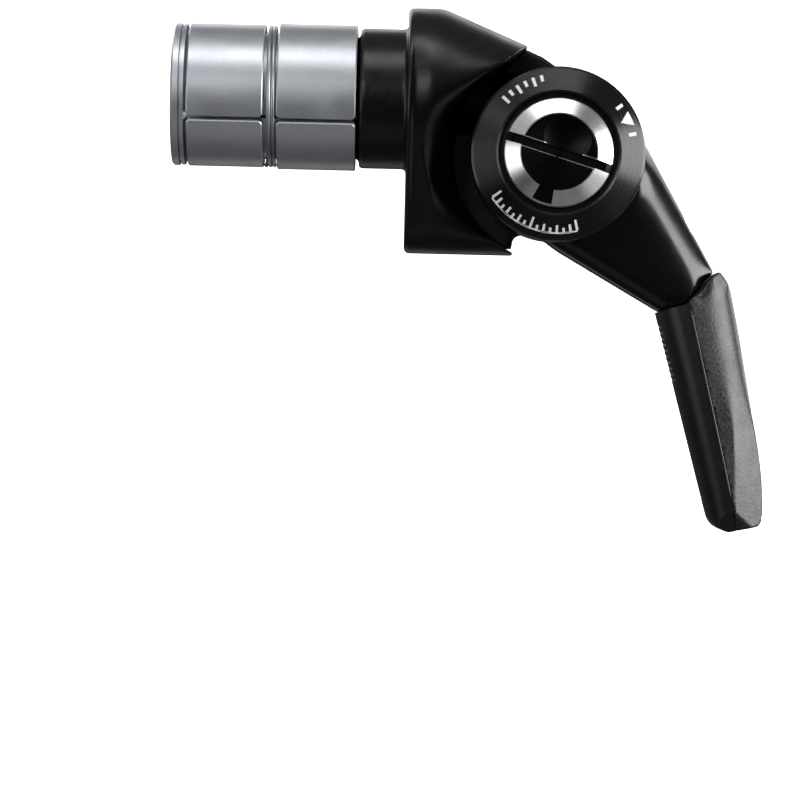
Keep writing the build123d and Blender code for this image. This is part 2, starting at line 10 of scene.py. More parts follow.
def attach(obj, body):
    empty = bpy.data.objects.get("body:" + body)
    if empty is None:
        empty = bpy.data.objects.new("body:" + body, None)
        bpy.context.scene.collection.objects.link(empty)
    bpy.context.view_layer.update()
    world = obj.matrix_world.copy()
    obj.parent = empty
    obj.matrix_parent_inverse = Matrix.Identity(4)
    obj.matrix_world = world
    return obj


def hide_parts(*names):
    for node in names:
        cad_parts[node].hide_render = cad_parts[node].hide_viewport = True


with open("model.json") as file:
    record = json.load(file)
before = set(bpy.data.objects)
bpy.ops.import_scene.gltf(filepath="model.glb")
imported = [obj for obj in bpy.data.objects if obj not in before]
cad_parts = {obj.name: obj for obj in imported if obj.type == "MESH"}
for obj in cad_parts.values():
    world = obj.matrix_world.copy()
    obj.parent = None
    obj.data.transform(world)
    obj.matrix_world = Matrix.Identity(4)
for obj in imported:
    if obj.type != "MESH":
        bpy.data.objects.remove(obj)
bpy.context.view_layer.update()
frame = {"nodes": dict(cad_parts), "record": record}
NODES = frame["nodes"]
MM = 0.001

# ---------------------------------------------------------------- lengths, millimetres
PIVOT_X, PIVOT_Z = 19.85, -7.5
FLANGE_R, LOBE_R, LOBE_Z = 12.15, 6.3, -14.2  # the bracket's flange and the lobe below it
GRIP_Y = -1.0  # mid plane of the grip
RECESS_R = 4.97  # blackened recess in the pivot bolt
BOLT_FACE_Y = -13.75
SLOT_SLOPE = 16.8  # fall of the slot toward +X, degrees
SLOT_HALF, WORN_HALF = 0.595, 0.70  # half width of the slot, bare and with its worn edges
NOTCH_R = 6.79
NOTCH_ANGLES = (-119.6, -97.0)
DIAL_CREST_R, DIAL_CREST_Y, DIAL_SLOPE = 8.15, -12.4, 0.415  # the dial's coned face

BRACKET_VOXEL, ARM_VOXEL, PAD_VOXEL = 0.24, 0.25, 0.17  # spacing of the fine skins' vertices
RELAX_STEP = 0.6  # share of the way that a vertex moves in one round
VALLEY_DEPTH = 0.45  # hollow behind the flange's rim
CONE_TUCK = 0.14  # clearance at the root of the wedge cone
EAR_RISE, EAR_SHIFT = 0.55, 0.1  # lift of the ear's upper edge, along Z and X
ARM_TOP, ARM_TOP_END = (12.19, 1.56), (21.35, -14.60)  # the arm's upper edge, from the pivot
ARM_SINK = 0.085  # fall of the arm's near face per millimetre of reach
BEAD_R = 0.13  # parting bead on the grip
BEAD_TOP, BEAD_END = 19.9, 47.3  # its ends, below the pivot
RIDGE_SLOPE = 0.25  # rake of the grip's edge, X per Z
PRINT_TOP, PRINT_SINK = 0.02, 0.004  # the dial's print, above and below the face
SCALE_R0, SCALE_R1 = 10.3, 10.5  # line round the long scale
SCALE_START, SCALE_STEP = -145, 5  # degrees
SHORT_START, SHORT_STEP = 104, 6.4
INDEX_ANGLE, INDEX_HALF = 27.0, 5.5  # triangle between two short bars
BAR_OFFSET = 11.5

# ---------------------------------------------------------------- camera
CAMERA_ROLL = math.radians(1.37)
CAMERA_PLACE = (0.0246, -440.0, -40.05)
CAMERA_LENS = 148.5


def add_camera():
    """A long lens looking squarely along the pivot axis, rolled a little."""
    data = bpy.data.cameras.new("camera")
    data.sensor_width = 36.0
    data.lens = CAMERA_LENS
    data.clip_start = 0.01
    data.clip_end = 20.0
    camera = bpy.data.objects.new("camera", data)
    right = Vector((math.cos(CAMERA_ROLL), 0, math.sin(CAMERA_ROLL)))
    up = Vector((-math.sin(CAMERA_ROLL), 0, math.cos(CAMERA_ROLL)))
    turn = Matrix((right, up, right.cross(up))).transposed().to_4x4()
    camera.matrix_world = Matrix.Translation(Vector(CAMERA_PLACE) * MM) @ turn
    bpy.context.scene.collection.objects.link(camera)
    bpy.context.scene.camera = camera


add_camera()


# ---------------------------------------------------------------- node helpers
def new_material(name):
    """A material with one Principled shader."""
    material = bpy.data.materials.new(name)
    material.use_nodes = True
    tree = material.node_tree
    tree.nodes.clear()
    out = tree.nodes.new("ShaderNodeOutputMaterial")
    shader = tree.nodes.new("ShaderNodeBsdfPrincipled")
    tree.links.new(shader.outputs[0], out.inputs[0])
    return material, tree, shader


def node(tree, kind, **settings):
    """A new node with some of its settings changed."""
    n = tree.nodes.new(kind)
    for key, value in settings.items():
        setattr(n, key, value)
    return n


def ramp(tree, source, stops):
    """Colour ramp over a value: stops are (position, grey or colour)."""
    r = tree.nodes.new("ShaderNodeValToRGB")
    while len(r.color_ramp.elements) < len(stops):
        r.color_ramp.elements.new(0.5)
    for e, (at, c) in zip(r.color_ramp.elements, stops):
        e.position = at
        e.color = (c, c, c, 1) if isinstance(c, (int, float)) else (*c, 1)
    tree.links.new(source, r.inputs[0])
    return r.outputs[0]


def remap(tree, source, lo, hi, new_lo, new_hi):
    """Map a value from one range to another."""
    m = node(tree, "ShaderNodeMapRange")
    m.inputs["From Min"].default_value = lo
    m.inputs["From Max"].default_value = hi
    m.inputs["To Min"].default_value = new_lo
    m.inputs["To Max"].default_value = new_hi
    tree.links.new(source, m.inputs["Value"])
    return m.outputs["Result"]


def object_coords(tree):
    """Object coordinates in millimetres."""
    c = node(tree, "ShaderNodeTexCoord")
    m = node(tree, "ShaderNodeMapping")
    m.inputs["Scale"].default_value = (1 / MM, 1 / MM, 1 / MM)
    tree.links.new(c.outputs["Object"], m.inputs["Vector"])
    return m.outputs["Vector"]


def noise_tex(tree, vector, scale, detail=3.0, roughness=0.55):
    """Noise from 0 to 1; the scale counts features per unit of the coordinates."""
    n = node(tree, "ShaderNodeTexNoise")
    n.inputs["Scale"].default_value = scale
    n.inputs["Detail"].default_value = detail
    n.inputs["Roughness"].default_value = roughness
    tree.links.new(vector, n.inputs["Vector"])
    return n.outputs["Fac"]


def bump(tree, shader, height, strength, distance_mm):
    """Fine relief from a pattern."""
    b = node(tree, "ShaderNodeBump")
    b.inputs["Strength"].default_value = strength
    b.inputs["Distance"].default_value = distance_mm * MM
    tree.links.new(height, b.inputs["Height"])
    tree.links.new(b.outputs["Normal"], shader.inputs["Normal"])


def object_mm(tree):
    """Object coordinates in millimetres, split into X, Y and Z."""
    split = node(tree, "ShaderNodeSeparateXYZ")
    tree.links.new(object_coords(tree), split.inputs[0])
    return split.outputs


def math_node(tree, operation, a, b=None):
    """One sum; each side is a number or a socket."""
    m = node(tree, "ShaderNodeMath", operation=operation)
    for socket, value in zip(m.inputs, (a, b)):
        if value is None:
            continue
        if isinstance(value, (int, float)):
            socket.default_value = value
        else:
            tree.links.new(value, socket)
    return m.outputs[0]


def product(tree, a, b):
    """The product of two values; of two masks, where both hold."""
    return math_node(tree, "MULTIPLY", a, b)


def below(tree, value, limit):
    """One where the value is under a limit."""
    return math_node(tree, "LESS_THAN", value, limit)


def above(tree, value, limit):
    """One where the value is over a limit."""
    return math_node(tree, "GREATER_THAN", value, limit)


def band(tree, value, lo, hi):
    """One where the value lies between two limits."""
    return product(tree, above(tree, value, lo), below(tree, value, hi))


def mix_colour(tree, fac, a, b):
    """Blend two colours; inputs 6 and 7 are the node's colour sockets."""
    m = node(tree, "ShaderNodeMix", data_type="RGBA")
    for socket, value in ((m.inputs[0], fac), (m.inputs[6], a), (m.inputs[7], b)):
        if isinstance(value, (int, float)):
            socket.default_value = value
        elif isinstance(value, tuple):
            socket.default_value = (*value, 1)
        else:
            tree.links.new(value, socket)
    return m.outputs[2]


def pivot_radius(tree):
    """Distance from the pivot axis, the angle round it, and the offsets along X, Y and Z."""
    x, y, z = object_mm(tree)
    dx = math_node(tree, "SUBTRACT", x, PIVOT_X)
    dz = math_node(tree, "SUBTRACT", z, PIVOT_Z)
    squares = math_node(tree, "ADD", product(tree, dx, dx), product(tree, dz, dz))
    radius = math_node(tree, "SQRT", squares)
    return radius, math_node(tree, "ARCTAN2", dz, dx), dx, y, dz


def mottled(tree, shader, colour, rough, grain, spread, rough_span=0.08, broad_scale=0.35):
    """Faint mottling: colour at grain scale, roughness at broad scale. Returns the fine pattern."""
    coords = object_coords(tree)
    fine = noise_tex(tree, coords, grain, 4.0)
    broad = noise_tex(tree, coords, broad_scale, 2.0)
    lo = tuple(c * (1 - spread) for c in colour)
    hi = tuple(min(1.0, c * (1 + spread)) for c in colour)
    tree.links.new(ramp(tree, fine, [(0.3, lo), (0.7, hi)]), shader.inputs["Base Color"])
    r = remap(tree, broad, 0.3, 0.7, rough - rough_span / 2, rough + rough_span / 2)
    tree.links.new(r, shader.inputs["Roughness"])
    return fine


def moulded(name, colour, rough, grain, grain_bump, spread=0.15, rough_span=0.08, specular=0.4,
            relief=0.03):
    """Moulded resin: fine spark-eroded grain in colour, gloss and relief."""
    material, tree, shader = new_material(name)
    fine = mottled(tree, shader, colour, rough, grain, spread, rough_span)
    shader.inputs["Specular IOR Level"].default_value = specular
    bump(tree, shader, fine, grain_bump, relief)
    return material


def gloss_paint(name, colour, rough):
    """Gloss black over forged alloy, with a faint orange peel."""
    material, tree, shader = new_material(name)
    mottled(tree, shader, colour, rough, 3.0, 0.2, 0.05)
    shader.inputs["Specular IOR Level"].default_value = 0.5
    peel = noise_tex(tree, object_coords(tree), 0.5, 1.0)
    bump(tree, shader, peel, 0.05, 0.05)
    return material


def metal(name, colour, rough, grain=9.0, grain_bump=0.1, rough_span=0.1, metallic=1.0):
    """Plain metal with a fine grain."""
    material, tree, shader = new_material(name)
    fine = mottled(tree, shader, colour, rough, grain, 0.08, rough_span, 0.25)
    shader.inputs["Metallic"].default_value = metallic
    if grain_bump:
        bump(tree, shader, fine, grain_bump, 0.02)
    return material


def turned(name, colour, rough, metallic, grooves=7.0, groove_bump=0.12, anisotropic=0.75,
           painted_sheen=0.25):
    """Lathe-turned face: concentric grooves about the pivot axis, and faint conical streaks of painted
    reflection in the colour.
    """
    material, tree, shader = new_material(name)
    radius, angle, dx, y, dz = pivot_radius(tree)
    ring_coords = node(tree, "ShaderNodeCombineXYZ")
    tree.links.new(product(tree, radius, grooves), ring_coords.inputs[0])
    tree.links.new(product(tree, angle, 0.4), ring_coords.inputs[1])
    rings = noise_tex(tree, ring_coords.outputs[0], 1.0, 3.0, 0.6)
    # painted reflection: colour that brightens and darkens round the pivot, standing in for the face's
    # conical reflection streaks
    spin = node(tree, "ShaderNodeCombineXYZ")
    for k, wave in enumerate(("COSINE", "SINE")):
        tree.links.new(product(tree, math_node(tree, wave, angle), 3.0), spin.inputs[k])
    sheen_rays = noise_tex(tree, spin.outputs[0], 1.6, 2.0, 0.5)
    lo = tuple(c * (1 - painted_sheen) for c in colour)
    hi = tuple(min(1.0, c * (1 + painted_sheen)) for c in colour)
    painted_sheen_tone = ramp(tree, sheen_rays, [(0.35, lo), (0.65, hi)])
    ring_shade = ramp(tree, rings, [(0.3, lo), (0.7, hi)])
    tone_and_sheen = mix_colour(tree, 0.5, painted_sheen_tone, ring_shade)
    tree.links.new(tone_and_sheen, shader.inputs["Base Color"])
    tree.links.new(remap(tree, rings, 0.3, 0.7, rough - 0.05, rough + 0.05), shader.inputs["Roughness"])
    shader.inputs["Metallic"].default_value = metallic
    shader.inputs["Anisotropic"].default_value = anisotropic
    shader.inputs["Anisotropic Rotation"].default_value = 0.25
    tangent = node(tree, "ShaderNodeTangent", direction_type="RADIAL", axis="Y")
    tree.links.new(tangent.outputs[0], shader.inputs["Tangent"])
    bump(tree, shader, rings, groove_bump, 0.02)
    return material, tree, shader, (radius, angle, dx, y, dz), tone_and_sheen


def bolt_black_and_shade(tree, radius, angle, dx, y, dz):
    """Mask of the bolt's black: the blackened recess, painted shade in the slot, and the black notch
    below it.
    """
    slope = math.radians(SLOT_SLOPE)
    rise = math_node(tree, "ADD", product(tree, dx, math.sin(slope)), product(tree, dz, math.cos(slope)))
    across = math_node(tree, "ABSOLUTE", rise)
    recess = product(tree, below(tree, radius, RECESS_R - 0.02), above(tree, y, BOLT_FACE_Y + 0.08))
    # painted shade: the slot's deep faces are coloured black
    slot = product(tree, below(tree, across, SLOT_HALF), above(tree, y, BOLT_FACE_Y + 0.3))
    notch_from, notch_to = (math.radians(a) for a in NOTCH_ANGLES)
    notch = product(tree, band(tree, angle, notch_from, notch_to), below(tree, radius, NOTCH_R))
    black = math_node(tree, "MAXIMUM", math_node(tree, "MAXIMUM", recess, slot), notch)
    # the slot's outer edges are worn bright
    rim = band(tree, across, SLOT_HALF - 0.005, WORN_HALF)
    worn = product(tree, rim, below(tree, y, BOLT_FACE_Y + 0.78))
    return product(tree, black, math_node(tree, "SUBTRACT", 1.0, product(tree, worn, 0.7)))


def bolt_material():
    """Polished turned bolt: bright cone, blackened recess, painted shade in the slot, and a black notch.
    """
    material, tree, shader, place, tone_and_sheen = turned(
        "polished_bolt", (0.74, 0.74, 0.75), rough=0.2, metallic=1.0, grooves=5.0, groove_bump=0.06,
        anisotropic=0.45, painted_sheen=0.10)
    black = bolt_black_and_shade(tree, *place)
    # black recess and notch, with painted shade in the slot
    colour = mix_colour(tree, black, tone_and_sheen, (0.011, 0.011, 0.012))
    tree.links.new(colour, shader.inputs["Base Color"])
    fine = noise_tex(tree, object_coords(tree), 6.0, 3.0)
    bare = remap(tree, fine, 0.3, 0.7, 0.27, 0.33)
    rough = math_node(tree, "ADD", product(tree, black, 0.05), bare)
    tree.links.new(rough, shader.inputs["Roughness"])
    return material


MATERIALS = {
    "bracket_black": moulded(
        "bracket_black", (0.0032, 0.0032, 0.0036), rough=0.33, grain=4.0, grain_bump=0.16, specular=0.42),
    "turned_steel": turned("turned_steel", (0.66, 0.66, 0.67), rough=0.26, metallic=1.0)[0],
    "click_steel": metal("click_steel", (0.45, 0.45, 0.46), rough=0.35),
    "polished_bolt": bolt_material(),
    "black_steel": metal("black_steel", (0.03, 0.03, 0.032), rough=0.4),
    "lever_black": gloss_paint("lever_black", (0.002, 0.002, 0.0022), rough=0.2),
    "bush_resin": moulded("bush_resin", (0.6, 0.59, 0.55), rough=0.5, grain=4.0, grain_bump=0.1),
    "grip_smooth": moulded(
        "grip_smooth", (0.005, 0.005, 0.0055), rough=0.38, grain=6.0, grain_bump=0.08, specular=0.42),
    "grip_textured": moulded(
        "grip_textured", (0.018, 0.018, 0.019), rough=0.33, grain=2.8, grain_bump=1.0, spread=0.95,
        rough_span=0.10, specular=0.45, relief=0.034),
    "dial_black": turned(
        "dial_black", (0.0025, 0.0025, 0.0027), rough=0.26, metallic=0.0, groove_bump=0.06,
        anisotropic=0.6, painted_sheen=0.2)[0],
    "plug_alloy": metal(
        "plug_alloy", (0.545, 0.57, 0.61), rough=0.40, grain=5.0, grain_bump=0.42, rough_span=0.08,
        metallic=0.84),
    "spring_wire": metal(
        "spring_wire", (0.42, 0.44, 0.46), rough=0.36, grain=4.0, grain_bump=0.0, rough_span=0.04,
        metallic=0.9),
}

for part in frame["record"]["subparts"]:
    obj = NODES[part["node"]]
    obj.data.materials.clear()
    obj.data.materials.append(MATERIALS[part["material_slot"]])


# ---------------------------------------------------------------- mesh helpers
def mesh_object(name, verts_mm, faces, material, body, smooth=True):
    """A piece built from its own vertices and faces."""
    mesh = bpy.data.meshes.new(name)
    mesh.from_pydata([tuple(c * MM for c in v) for v in verts_mm], [], faces)
    mesh.validate()
    mesh.polygons.foreach_set("use_smooth", [smooth] * len(mesh.polygons))
    mesh.materials.append(material)
    obj = bpy.data.objects.new(name, mesh)
    bpy.context.scene.collection.objects.link(obj)
    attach(obj, body)


def remeshed(node_name, voxel_mm):
    """A dense, even copy of a CAD solid's surface: vertices in millimetres and quads."""
    source = NODES[node_name]
    mesh = source.data.copy()
    mesh.transform(Matrix.Scale(1 / MM, 4))
    temp = bpy.data.objects.new("temp", mesh)
    bpy.context.scene.collection.objects.link(temp)
    modifier = temp.modifiers.new("remesh", "REMESH")
    modifier.mode = "VOXEL"
    modifier.voxel_size = voxel_mm
    modifier.adaptivity = 0.0
    graph = bpy.context.evaluated_depsgraph_get()
    dense = bpy.data.meshes.new_from_object(temp.evaluated_get(graph))
    verts = np.empty(len(dense.vertices) * 3)
    dense.vertices.foreach_get("co", verts)
    edges = np.empty(len(dense.edges) * 2, dtype=np.int64)
    dense.edges.foreach_get("vertices", edges)
    bpy.data.objects.remove(temp)
    return dense, verts.reshape(-1, 3), edges.reshape(-1, 2)


def smooth_step(lo, hi, value):
    """Zero below lo, one above hi, and smooth between."""
    t = np.clip((value - lo) / (hi - lo), 0, 1)
    return t * t * (3 - 2 * t)


def fade(lo, hi, value):
    """One below lo, zero above hi, and smooth between."""
    return 1 - smooth_step(lo, hi, value)


def relax(verts, edges, weight, rounds):
    """Move each vertex toward the middle of its neighbours, by its own weight."""
    n = len(verts)
    a = np.concatenate([edges[:, 0], edges[:, 1]])
    b = np.concatenate([edges[:, 1], edges[:, 0]])
    count = np.maximum(np.bincount(a, minlength=n), 1)
    w = (weight * RELAX_STEP)[:, None]
    for _ in range(rounds):
        sums = [np.bincount(a, weights=verts[b, k], minlength=n) for k in range(3)]
        mean = np.stack([total / count for total in sums], axis=1)
        verts = verts + (mean - verts) * w
    return verts


def vertex_normals(mesh):
    """The vertex normals as rows."""
    normals = np.empty(len(mesh.vertices) * 3)
    mesh.vertices.foreach_get("normal", normals)
    return normals.reshape(-1, 3)


def skin_object(name, dense, verts_mm, body, slot, replaced):
    """A finished skin: the reshaped copy of a CAD piece, in its place."""
    dense.vertices.foreach_set("co", (verts_mm * MM).ravel())
    dense.polygons.foreach_set("use_smooth", [True] * len(dense.polygons))
    dense.update()
    dense.name = name
    dense.materials.clear()
    dense.materials.append(MATERIALS[slot])
    obj = bpy.data.objects.new(name, dense)
    bpy.context.scene.collection.objects.link(obj)
    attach(obj, body)
    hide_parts(replaced)
    return obj


# ---------------------------------------------------------------- bracket
def flange_distance(y, z):
    """Signed distance from the flange's outline: two circles and the flats between them."""
    tilt = math.asin((FLANGE_R - LOBE_R) / -LOBE_Z)
    nx, nz = math.cos(tilt), -math.sin(tilt)
    ay = np.abs(y)
    along = ay * math.sin(tilt) + z * math.cos(tilt)
    upper = np.hypot(y, z) - FLANGE_R
    lower = np.hypot(y, z - LOBE_Z) - LOBE_R
    flat = ay * nx + z * nz - FLANGE_R
    low_line = LOBE_Z * math.cos(tilt)
    return np.where(along > 0, upper, np.where(along < low_line, lower, flat))


def relaxed_bracket(verts, edges):
    """Roll the pocket's rim and soften the creases."""
    x, y, z = verts.T
    radius = np.hypot(x - PIVOT_X, z - PIVOT_Z)
    angle = np.degrees(np.arctan2(z - PIVOT_Z, x - PIVOT_X)) % 360
    verts = relax(verts, edges, np.ones(len(verts)), rounds=2)
    # rolled rim on the bar side of the pocket, fading to a crisp edge at both ends
    roll = smooth_step(134, 158, angle) * fade(212, 240, angle)
    roll = roll * smooth_step(11.5, 13.5, radius) * smooth_step(3.2, 5.6, x) * fade(-4, -1, y)
    verts = relax(verts, edges, roll, rounds=160)
    # crease between the flange and the sloping roof
    crease = smooth_step(1.4, 3.0, x) * fade(9.0, 12.0, x) * smooth_step(-9, -2, z)
    crease = crease * smooth_step(9.0, 10.5, np.hypot(y, z)) * smooth_step(2.0, 5.0, -y)
    verts = relax(verts, edges, crease, rounds=90)
    # the far skin melts into the ear
    far = smooth_step(5.0, 7.5, y) * smooth_step(1.5, 4.0, x) * smooth_step(7.2, 8.4, radius)
    far = far * fade(17.0, 20.0, x) * fade(7.0, 10.0, z)
    return relax(verts, edges, far, rounds=110)


def shaped_bracket(verts, normals):
    """Sink the valley and the cone's root, and raise the ear's upper edge."""
    x, y, z = verts.T
    # a shallow valley behind the flange's rim
    skin = np.abs(flange_distance(y, z)) < 1.2
    depth = VALLEY_DEPTH * smooth_step(0.1, 1.0, x) * fade(1.0, 3.5, x)
    depth = depth * smooth_step(4.0, 9.0, -y) * (1 - 0.8 * smooth_step(4.0, 8.0, z))
    sideways = np.clip(np.hypot(normals[:, 1], normals[:, 2]), 0, 1)
    push = np.where(skin & (x < 5.0), depth, 0.0) * sideways
    verts = verts - normals * push[:, None]
    # the root of the wedge cone, hidden in the plug, is kept clear of the segments
    tuck = smooth_step(6.2, 6.3, -x) * fade(8.7, 9.0, np.hypot(y, z))
    verts = verts - normals * (CONE_TUCK * tuck)[:, None]
    # the ear's upper edge rises to meet the end of the roof
    rise = smooth_step(14.2, 15.6, x) * fade(17.5, 21.0, x) * smooth_step(4.0, 6.0, z)
    rise = rise * smooth_step(2.6, 3.3, y) * fade(5.5, 8.5, y) * np.clip(normals[:, 2], 0, 1)
    return verts + np.stack([rise * EAR_SHIFT, rise * 0, rise * EAR_RISE], axis=1)


def soft_bracket():
    """The bracket's moulded skin: rolled pocket rim, soft creases and a hollow near side."""
    dense, verts, edges = remeshed("bracket", BRACKET_VOXEL)
    verts = relaxed_bracket(verts, edges)
    dense.vertices.foreach_set("co", verts.ravel())
    dense.update()
    verts = shaped_bracket(verts, vertex_normals(dense))
    return skin_object("bracket_skin", dense, verts, "bracket", "bracket_black", "bracket")


BRACKET_SKIN = soft_bracket()


# ---------------------------------------------------------------- lever arm and thumb pad
def soft_arm():
    """The forged arm: a broad soft shoulder on its upper edge, thinning toward the grip."""
    dense, verts, edges = remeshed("lever_arm", ARM_VOXEL)
    x, y, z = verts.T
    dx, dz = x - PIVOT_X, z - PIVOT_Z
    length = math.dist(ARM_TOP, ARM_TOP_END)
    ux = (ARM_TOP_END[0] - ARM_TOP[0]) / length
    uz = (ARM_TOP_END[1] - ARM_TOP[1]) / length
    along = (dx - ARM_TOP[0]) * ux + (dz - ARM_TOP[1]) * uz
    inside = (dx - ARM_TOP[0]) * uz - (dz - ARM_TOP[1]) * ux
    reach = np.hypot(dx, dz)
    arm = smooth_step(11.6, 12.6, reach) * fade(length - 1.0, length + 1.5, along)
    shoulder = arm * smooth_step(-8.2, -5.0, -np.abs(inside)) * smooth_step(3.3, 4.8, -y)
    verts = relax(verts, edges, shoulder, rounds=220)
    x, y, z = verts.T
    near = np.clip((-1.8 - y) / 4.7, 0, 1)
    run = np.clip(np.hypot(x - PIVOT_X, z - PIVOT_Z) - 12.0, 0, 16.0)
    verts = verts + np.stack([x * 0, ARM_SINK * run * near, x * 0], axis=1)
    return skin_object("arm_skin", dense, verts, "lever", "lever_black", "lever_arm")


soft_arm()


def joined(shapes):
    """Several shapes, each of vertices and faces, as one."""
    verts, faces = [], []
    for more_verts, more_faces in shapes:
        base = len(verts)
        verts += more_verts
        faces += [tuple(i + base for i in face) for face in more_faces]
    return verts, faces


def tube(points, radius, sides=8):
    """A round bead along a line of points, closed at both ends."""
    verts, faces = [], []
    count = len(points)
    for i, p in enumerate(points):
        ahead = Vector(points[min(i + 1, count - 1)]) - Vector(points[max(i - 1, 0)])
        ahead.normalize()
        side = ahead.cross(Vector((0, 1, 0))).normalized()
        out = side.cross(ahead)
        for k in range(sides):
            a = math.tau * k / sides
            verts.append(tuple(Vector(p) + side * (radius * math.cos(a)) + out * (radius * math.sin(a))))
    for i in range(count - 1):
        for k in range(sides):
            j = (k + 1) % sides
            faces.append((i * sides + k, i * sides + j, (i + 1) * sides + j, (i + 1) * sides + k))
    faces.append(tuple(reversed(range(sides))))
    faces.append(tuple(range((count - 1) * sides, count * sides)))
    return verts, faces


def parting_points(side):
    """Points down the grip's parting line on one side, taken from the pad's own edge."""
    mesh = NODES["grip_pad"].data
    co = np.empty(len(mesh.vertices) * 3)
    mesh.vertices.foreach_get("co", co)
    co = co.reshape(-1, 3) / MM
    rim = co[(co[:, 1] - GRIP_Y) * side > 3.6]
    points = []
    for z in np.linspace(PIVOT_Z - BEAD_TOP, PIVOT_Z - BEAD_END, 30):
        height = rim[:, 2] - z
        band_x = np.where(np.abs(height) < 1.6, rim[:, 0] + height * RIDGE_SLOPE, np.inf)
        best = band_x.argmin()
        points.append((band_x[best], rim[best, 1], z))
    line = np.array(points)
    for _ in range(6):
        line[1:-1] = (line[:-2] + 2 * line[1:-1] + line[2:]) / 4
    return [tuple(p) for p in line]


BEAD = moulded("bead_resin", (0.035, 0.035, 0.037), rough=0.26, grain=3.0, grain_bump=0.1)


def parting_bead():
    """The fine raised line where the two halves of the grip meet, near and far side."""
    verts, faces = joined(tube(parting_points(side), BEAD_R) for side in (-1, 1))
    mesh_object("grip_bead", verts, faces, BEAD, "lever")


parting_bead()


def soft_pad():
    """The thumb pad: its facet edge is soft near the arm and grows crisp toward the tip."""
    dense, verts, edges = remeshed("grip_pad", PAD_VOXEL)
    x, y, z = verts.T
    inner = np.abs(y - GRIP_Y) < 2.9
    verts = relax(verts, edges, np.ones(len(verts)) * 0.8, rounds=2)
    upper = smooth_step(PIVOT_Z - 36.0, PIVOT_Z - 24.0, z) * fade(-25.2, -23.8, z)
    ridge_x = PIVOT_X + 18.62 - (z - PIVOT_Z + 22.0) * RIDGE_SLOPE
    upper = upper * smooth_step(0.8, 2.2, x - ridge_x) * np.where(inner, 0.0, 1.0)
    verts = relax(verts, edges, upper, rounds=220)
    return skin_object("pad_skin", dense, verts, "lever", "grip_textured", "grip_pad")


soft_pad()


# ---------------------------------------------------------------- printed marks on the dial
def print_material():
    """White ink, slightly uneven."""
    material, tree, shader = new_material("white_print")
    fine = mottled(tree, shader, (0.78, 0.78, 0.77), 0.5, 6.0, 0.1)
    bump(tree, shader, fine, 0.1, 0.01)
    return material


PRINT = print_material()


def dial_surface(radius):
    """Y of the dial's coned face at a radius from the pivot."""
    return DIAL_CREST_Y + (radius - DIAL_CREST_R) * DIAL_SLOPE


def dial_patch(outline):
    """A thin printed patch on the coned face, from a closed outline of (radius, degrees)."""
    n = len(outline)
    verts = []
    for lift in (-PRINT_SINK, PRINT_TOP):
        for r, a in outline:
            x = PIVOT_X + r * math.cos(math.radians(a))
            z = PIVOT_Z + r * math.sin(math.radians(a))
            verts.append((x, dial_surface(r) - lift, z))
    faces = [tuple(range(n)), tuple(range(2 * n - 1, n - 1, -1))]
    faces += [(i, i + n, (i + 1) % n + n, (i + 1) % n) for i in range(n)]
    return verts, faces


def arc_outline(r0, r1, a0, a1, step=2.0):
    """Outline of a ring sector."""
    count = max(1, round(abs(a1 - a0) / step))
    angles = [a0 + (a1 - a0) * i / count for i in range(count + 1)]
    return [(r0, a) for a in angles] + [(r1, a) for a in reversed(angles)]


def dial_marks():
    """White graduations: a long scale below, an index triangle at the right and a short scale above."""
    outlines = [arc_outline(SCALE_R0, SCALE_R1, SCALE_START, SCALE_START + 14 * SCALE_STEP)]
    for k in range(15):
        a = SCALE_START + SCALE_STEP * k
        inner = (8.95, 9.75, 9.4)[0 if k % 7 == 0 else 1 + k % 2]
        outlines.append(arc_outline(inner, SCALE_R0, a - 0.95, a + 0.95))
    for k in range(6):
        a = SHORT_START + SHORT_STEP * k
        outlines.append(arc_outline(9.1 if k % 2 else 9.5, 10.35, a - 1.2, a + 1.2))
    base = [(SCALE_R1, INDEX_ANGLE + INDEX_HALF * (k / 3 - 1)) for k in range(7)]
    outlines.append([(8.95, INDEX_ANGLE)] + base)
    for a in (INDEX_ANGLE - BAR_OFFSET, INDEX_ANGLE + BAR_OFFSET):
        outlines.append(arc_outline(9.4, 10.4, a - 1.3, a + 1.3))
    verts, faces = joined(dial_patch(outline) for outline in outlines)
    mesh_object("dial_marks", verts, faces, PRINT, "mode_dial", smooth=False)


dial_marks()


# ---------------------------------------------------------------- stage and light
STAGE_GREY = 0.9
FLOOR_Z, WALL_Y, WALL_TOP = -0.20, 0.62, 1.4  # the sweep, in metres
HALF_WIDTH, BEND_R = 1.6, 0.25
CENTRE = Vector((0.012, 0, -0.018))  # the middle of the object, in metres


def stage_material():
    """Matte white that also glows, so that the floor and wall stay even."""
    material, _, shader = new_material("stage_white")
    shader.inputs["Base Color"].default_value = (STAGE_GREY, STAGE_GREY, STAGE_GREY, 1)
    shader.inputs["Roughness"].default_value = 0.9
    shader.inputs["Emission Color"].default_value = (1, 1, 1, 1)
    shader.inputs["Emission Strength"].default_value = 1.0
    return material


def build_stage():
    """One sweep: a pale floor below the object that curves up into a wall behind it."""
    profile = [(-HALF_WIDTH, FLOOR_Z), (WALL_Y - BEND_R, FLOOR_Z)]
    for i in range(1, 17):
        a = math.radians(90 * i / 16)
        y = WALL_Y - BEND_R + BEND_R * math.sin(a)
        profile.append((y, FLOOR_Z + BEND_R - BEND_R * math.cos(a)))
    profile.append((WALL_Y, WALL_TOP))
    mesh = bpy.data.meshes.new("stage")
    verts = [(x, y, z) for x in (-HALF_WIDTH, HALF_WIDTH) for y, z in profile]
    n = len(profile)
    faces = [(i, i + 1, n + i + 1, n + i) for i in range(n - 1)]
    mesh.from_pydata(verts, [], faces)
    mesh.polygons.foreach_set("use_smooth", [True] * len(faces))
    obj = bpy.data.objects.new("stage", mesh)
    bpy.context.scene.collection.objects.link(obj)
    mesh.materials.append(stage_material())
    obj.visible_glossy = False
    obj.visible_diffuse = False


build_stage()


